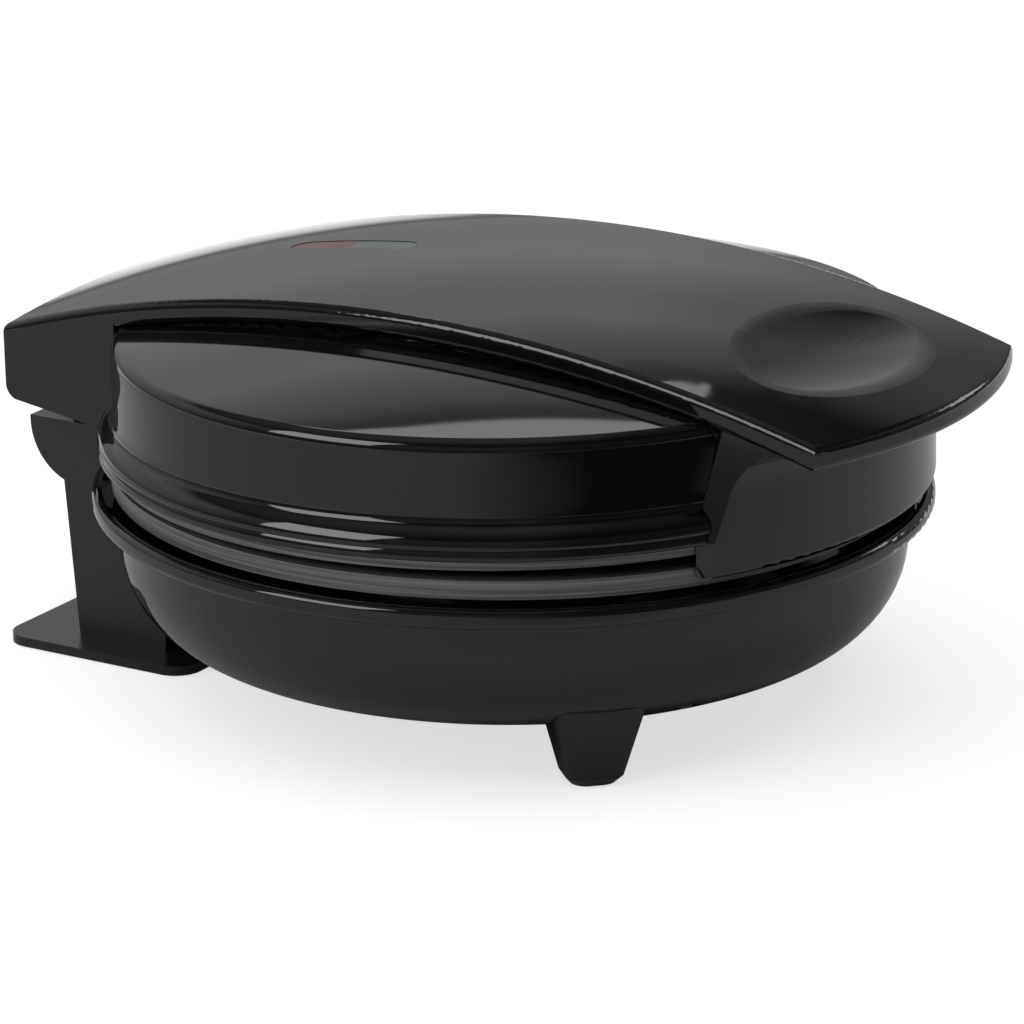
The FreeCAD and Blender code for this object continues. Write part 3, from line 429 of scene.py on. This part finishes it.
# %% White to the eye, less to mirrors
EYE_SHARE, MIRROR_SHARE = 0.72, 0.25
glow = add_node(floor_tree, "ShaderNodeEmission")
path = add_node(floor_tree, "ShaderNodeLightPath")
mirror = add_node(floor_tree, "ShaderNodeMath", "MAXIMUM")
mirror_share = add_node(floor_tree, "ShaderNodeMath", "MULTIPLY")
mirror_share.inputs[1].default_value = MIRROR_SHARE
glow_share = add_node(floor_tree, "ShaderNodeMath", "MULTIPLY_ADD")
glow_share.inputs[1].default_value = EYE_SHARE
blend = add_node(floor_tree, "ShaderNodeMixShader")
wire(
    floor_tree,
    (floor_tone.outputs["Color"], glow.inputs["Color"]),
    (path.outputs["Is Glossy Ray"], mirror.inputs[0]),
    (path.outputs["Is Transmission Ray"], mirror.inputs[1]),
    (mirror.outputs["Value"], mirror_share.inputs[0]),
    (path.outputs["Is Camera Ray"], glow_share.inputs[0]),
    (mirror_share.outputs["Value"], glow_share.inputs[2]),
    (glow_share.outputs["Value"], blend.inputs["Fac"]),
    (floor_tree.nodes["Principled BSDF"].outputs["BSDF"], blend.inputs[1]),
    (glow.outputs["Emission"], blend.inputs[2]),
    (blend.outputs["Shader"], floor_tree.nodes["Material Output"].inputs["Surface"]),
)
floor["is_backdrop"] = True
print("floor glow to the eye and to mirrors:", EYE_SHARE, MIRROR_SHARE)

# %% [markdown]
# ## Light that shapes gloss
# Black gloss shows only what it mirrors. Behind the object the studio is a soft grey that fades out higher
# up, so the cover runs from grey at the rear to black at the front. A picture of a studio could light it,
# but a ramp over the height of each direction is plainer and easy to tune.

# %% World: greys by height
HEIGHT_GREYS = (
    (0.0, 0.34), (0.12, 0.42), (0.24, 0.60), (0.40, 0.60),
    (0.48, 0.74), (0.58, 0.50), (0.63, 0.10), (1.0, 0.35),
)
world = bpy.data.worlds.new("studio")
bpy.context.scene.world = world
world.use_nodes = True
sky = world.node_tree
sky.nodes.clear()
direction = add_node(sky, "ShaderNodeTexCoord")
split = add_node(sky, "ShaderNodeSeparateXYZ")
height_tone = tone_ramp(sky, [(place, grey(level)) for place, level in HEIGHT_GREYS])
wire(
    sky,
    (direction.outputs["Generated"], split.inputs["Vector"]),
    (split.outputs["Z"], height_tone.inputs["Fac"]),
)
print("greys by height:", len(HEIGHT_GREYS))

# %% [markdown]
# On the near side and to the right the studio is much dimmer. The share of light is measured along a
# heading over the floor, with one helper that the card below uses as well.

# %% Headings over the floor, seen from the photo's side
near_side = Vector((-0.852, -0.524, 0.0))
across = Vector((0.524, -0.852, 0.0))


def fall_off(tree, place, heading, start, end, low=0.0, high=1.0):
    """A share that runs from low to high as the place moves along the heading from start to end."""
    along = add_node(tree, "ShaderNodeVectorMath", "DOT_PRODUCT")
    along.inputs[1].default_value = heading
    share = add_node(tree, "ShaderNodeMapRange")
    for name, value in (("From Min", start), ("From Max", end), ("To Min", low), ("To Max", high)):
        share.inputs[name].default_value = value
    wire(tree, (place, along.inputs[0]), (along.outputs["Value"], share.inputs["Value"]))
    return share


# %% World: dim on the near side and to the right
behind = Vector((0.0, 0.0, 0.5)) - near_side
seen = direction.outputs["Generated"]
side_tone = fall_off(sky, seen, behind, start=-0.15, end=0.45, low=0.35)
right_tone = fall_off(sky, seen, across, start=0.06, end=0.26, low=1.0, high=0.40)
both_tones = add_node(sky, "ShaderNodeMath", "MULTIPLY")
studio = add_node(sky, "ShaderNodeBackground")
result = add_node(sky, "ShaderNodeOutputWorld")
wire(
    sky,
    (side_tone.outputs["Result"], both_tones.inputs[0]),
    (right_tone.outputs["Result"], both_tones.inputs[1]),
    (height_tone.outputs["Color"], studio.inputs["Color"]),
    (both_tones.outputs["Value"], studio.inputs["Strength"]),
    (studio.outputs["Background"], result.inputs["Surface"]),
)
print("world:", world.name)

# %% [markdown]
# ## Painted shade on the floor, for mirrors
# Photographers lay grey and black card around gloss to keep its walls dark. Here a sheet lies flat on the
# floor, just above it, and only mirrors and glass see it: it casts no shadow and lights nothing, and paints
# the shade of the floor near the object into the reflections. It is grey, and black at the front right. Two
# such sheets would leave a hard line in the lid's wall, so one sheet is graded along two headings.

# %% Sheet of painted shade that only mirrors see
CARD_BACK, CARD_FRONT, CARD_HALF, CARD_DROP = -0.45, 1.6, 0.9, 0.0002
CARD_PLACES = (
    (CARD_BACK, -CARD_HALF), (CARD_BACK, CARD_HALF), (CARD_FRONT, CARD_HALF), (CARD_FRONT, -CARD_HALF),
)
below = Vector((0.0, 0.0, -CARD_DROP))
# A sheet that only mirrors and glass see: painted shade in the gloss reflections, not a real card
card = flat_sheet("mirror_shade_sheet", [near_side * ahead + across * aside + below for ahead, aside in CARD_PLACES])
card.visible_camera = False
card.visible_shadow = False
card.visible_diffuse = False
card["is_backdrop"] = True
print("card corners:", len(CARD_PLACES))

# %% Tone of the painted shade sheet
painted_shade_card = finish_material("painted_shade_card", grey(0.36), roughness=0.95)
card.data.materials.append(painted_shade_card)
card_tree = painted_shade_card.node_tree
card_place = add_node(card_tree, "ShaderNodeTexCoord")
to_right = fall_off(card_tree, card_place.outputs["Object"], across, start=-0.12, end=0.14)
to_front = fall_off(card_tree, card_place.outputs["Object"], near_side, start=0.20, end=0.30)
front_right = add_node(card_tree, "ShaderNodeMath", "MULTIPLY")
# Painted shade in the reflections: grey, graded to black at the front right
painted_shade_tone = tone_ramp(card_tree, ((0.0, grey(0.36)), (1.0, grey(0.01))))
wire(
    card_tree,
    (to_right.outputs["Result"], front_right.inputs[0]),
    (to_front.outputs["Result"], front_right.inputs[1]),
    (front_right.outputs["Value"], painted_shade_tone.inputs["Fac"]),
    (painted_shade_tone.outputs["Color"], socket(painted_shade_card, "Base Color")),
)
print("made", painted_shade_card.name)

# %% [markdown]
# ## Softboxes
# One softbox above lights the floor and stays out of the mirrors. One on the left draws the bright band
# along the rolled rim, a small one at the rear lights the front of the dome, and another on the right
# catches the bowl's rim. Area lamps give the soft, straight-edged highlights of a studio; point lamps
# would leave round dots.


# %% Four softboxes
def softbox(name, place, aim, size, watts):
    """A rectangular lamp at a place, turned to its aim."""
    data = bpy.data.lights.new(name, "AREA")
    data.shape = "RECTANGLE"
    data.size, data.size_y = size
    data.energy = watts
    lamp = bpy.data.objects.new(name, data)
    lamp.location = place
    lamp.rotation_euler = (Vector(aim) - Vector(place)).to_track_quat("-Z", "Y").to_euler()
    bpy.context.scene.collection.objects.link(lamp)
    return lamp


BODY_MIDDLE = (0.0, 0.0, 0.05)
FLOOR_MIDDLE = (0.0, 0.0, 0.0)
top = softbox("top_softbox", (-0.15, -0.1, 1.6), FLOOR_MIDDLE, size=(2.4, 2.4), watts=52.0)
top.visible_glossy = False
softbox("left_softbox", (-1.15, 0.5, 0.78), BODY_MIDDLE, size=(0.8, 0.75), watts=9.0)
softbox("rear_softbox", (1.08, 0.72, 1.32), BODY_MIDDLE, size=(0.7, 0.16), watts=0.6)
softbox("right_softbox", (1.26, -0.55, 0.63), BODY_MIDDLE, size=(0.5, 0.35), watts=1.5)

# %% [markdown]
# ## The camera
# The photo was matched by fitting a camera to the rims, the cover's edges and the feet. The fit gives the
# place, the aim, a small roll and a long lens, which keeps the far side almost as large as the near side.

# %% Place and aim from the fit
FOCAL_PIXELS = 5779.68
AIM_PIXELS = (1.852, 30.67)
ORBIT_AZIMUTH, ORBIT_HEIGHT, ORBIT_DISTANCE = math.radians(-58.396), math.radians(17.590), 1.4415
ROLL = math.radians(-0.3744)


def bearing(turn, rise):
    """A direction, from its turn about the upright axis and its rise above the floor."""
    return Vector((math.sin(turn) * math.cos(rise), -math.cos(turn) * math.cos(rise), math.sin(rise)))


outward = bearing(ORBIT_AZIMUTH, ORBIT_HEIGHT)
yaw = ORBIT_AZIMUTH + math.atan(AIM_PIXELS[0] / FOCAL_PIXELS)
pitch = ORBIT_HEIGHT + math.atan(AIM_PIXELS[1] / FOCAL_PIXELS)
view = -bearing(yaw, pitch)
level_right = view.cross(Vector((0.0, 0.0, 1.0))).normalized()
level_up = level_right.cross(view)
right = math.cos(ROLL) * level_right + math.sin(ROLL) * level_up
up = -math.sin(ROLL) * level_right + math.cos(ROLL) * level_up
print("camera looks along", [round(value, 3) for value in view])

# %% Camera at the photo's angle
FRAME_PIXELS = 1024.0
SENSOR_MM = 36.0
FAR_CLIP = 50.0
lens = bpy.data.cameras.new("photo_camera")
lens.sensor_width = SENSOR_MM
lens.lens = FOCAL_PIXELS / FRAME_PIXELS * SENSOR_MM
lens.clip_end = FAR_CLIP
camera = bpy.data.objects.new("photo_camera", lens)
bpy.context.scene.collection.objects.link(camera)
turned = Matrix((right, up, -view)).transposed().to_4x4()
camera.matrix_world = Matrix.Translation(Vector(BODY_MIDDLE) + outward * ORBIT_DISTANCE) @ turned
bpy.context.scene.camera = camera
print("camera at", [round(value, 3) for value in camera.location], "lens", round(lens.lens, 1))

# %% [markdown]
# ## Close the lesson
# The picture uses the plain Standard transform, so a colour renders as it is written.

bpy.context.scene.view_settings.view_transform = "Standard"
shown_low, shown_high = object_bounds()
growth = (shown_high - shown_low) - (cad_high - cad_low)
print("box grew by (mm):", [round(value * 1000, 2) for value in growth])
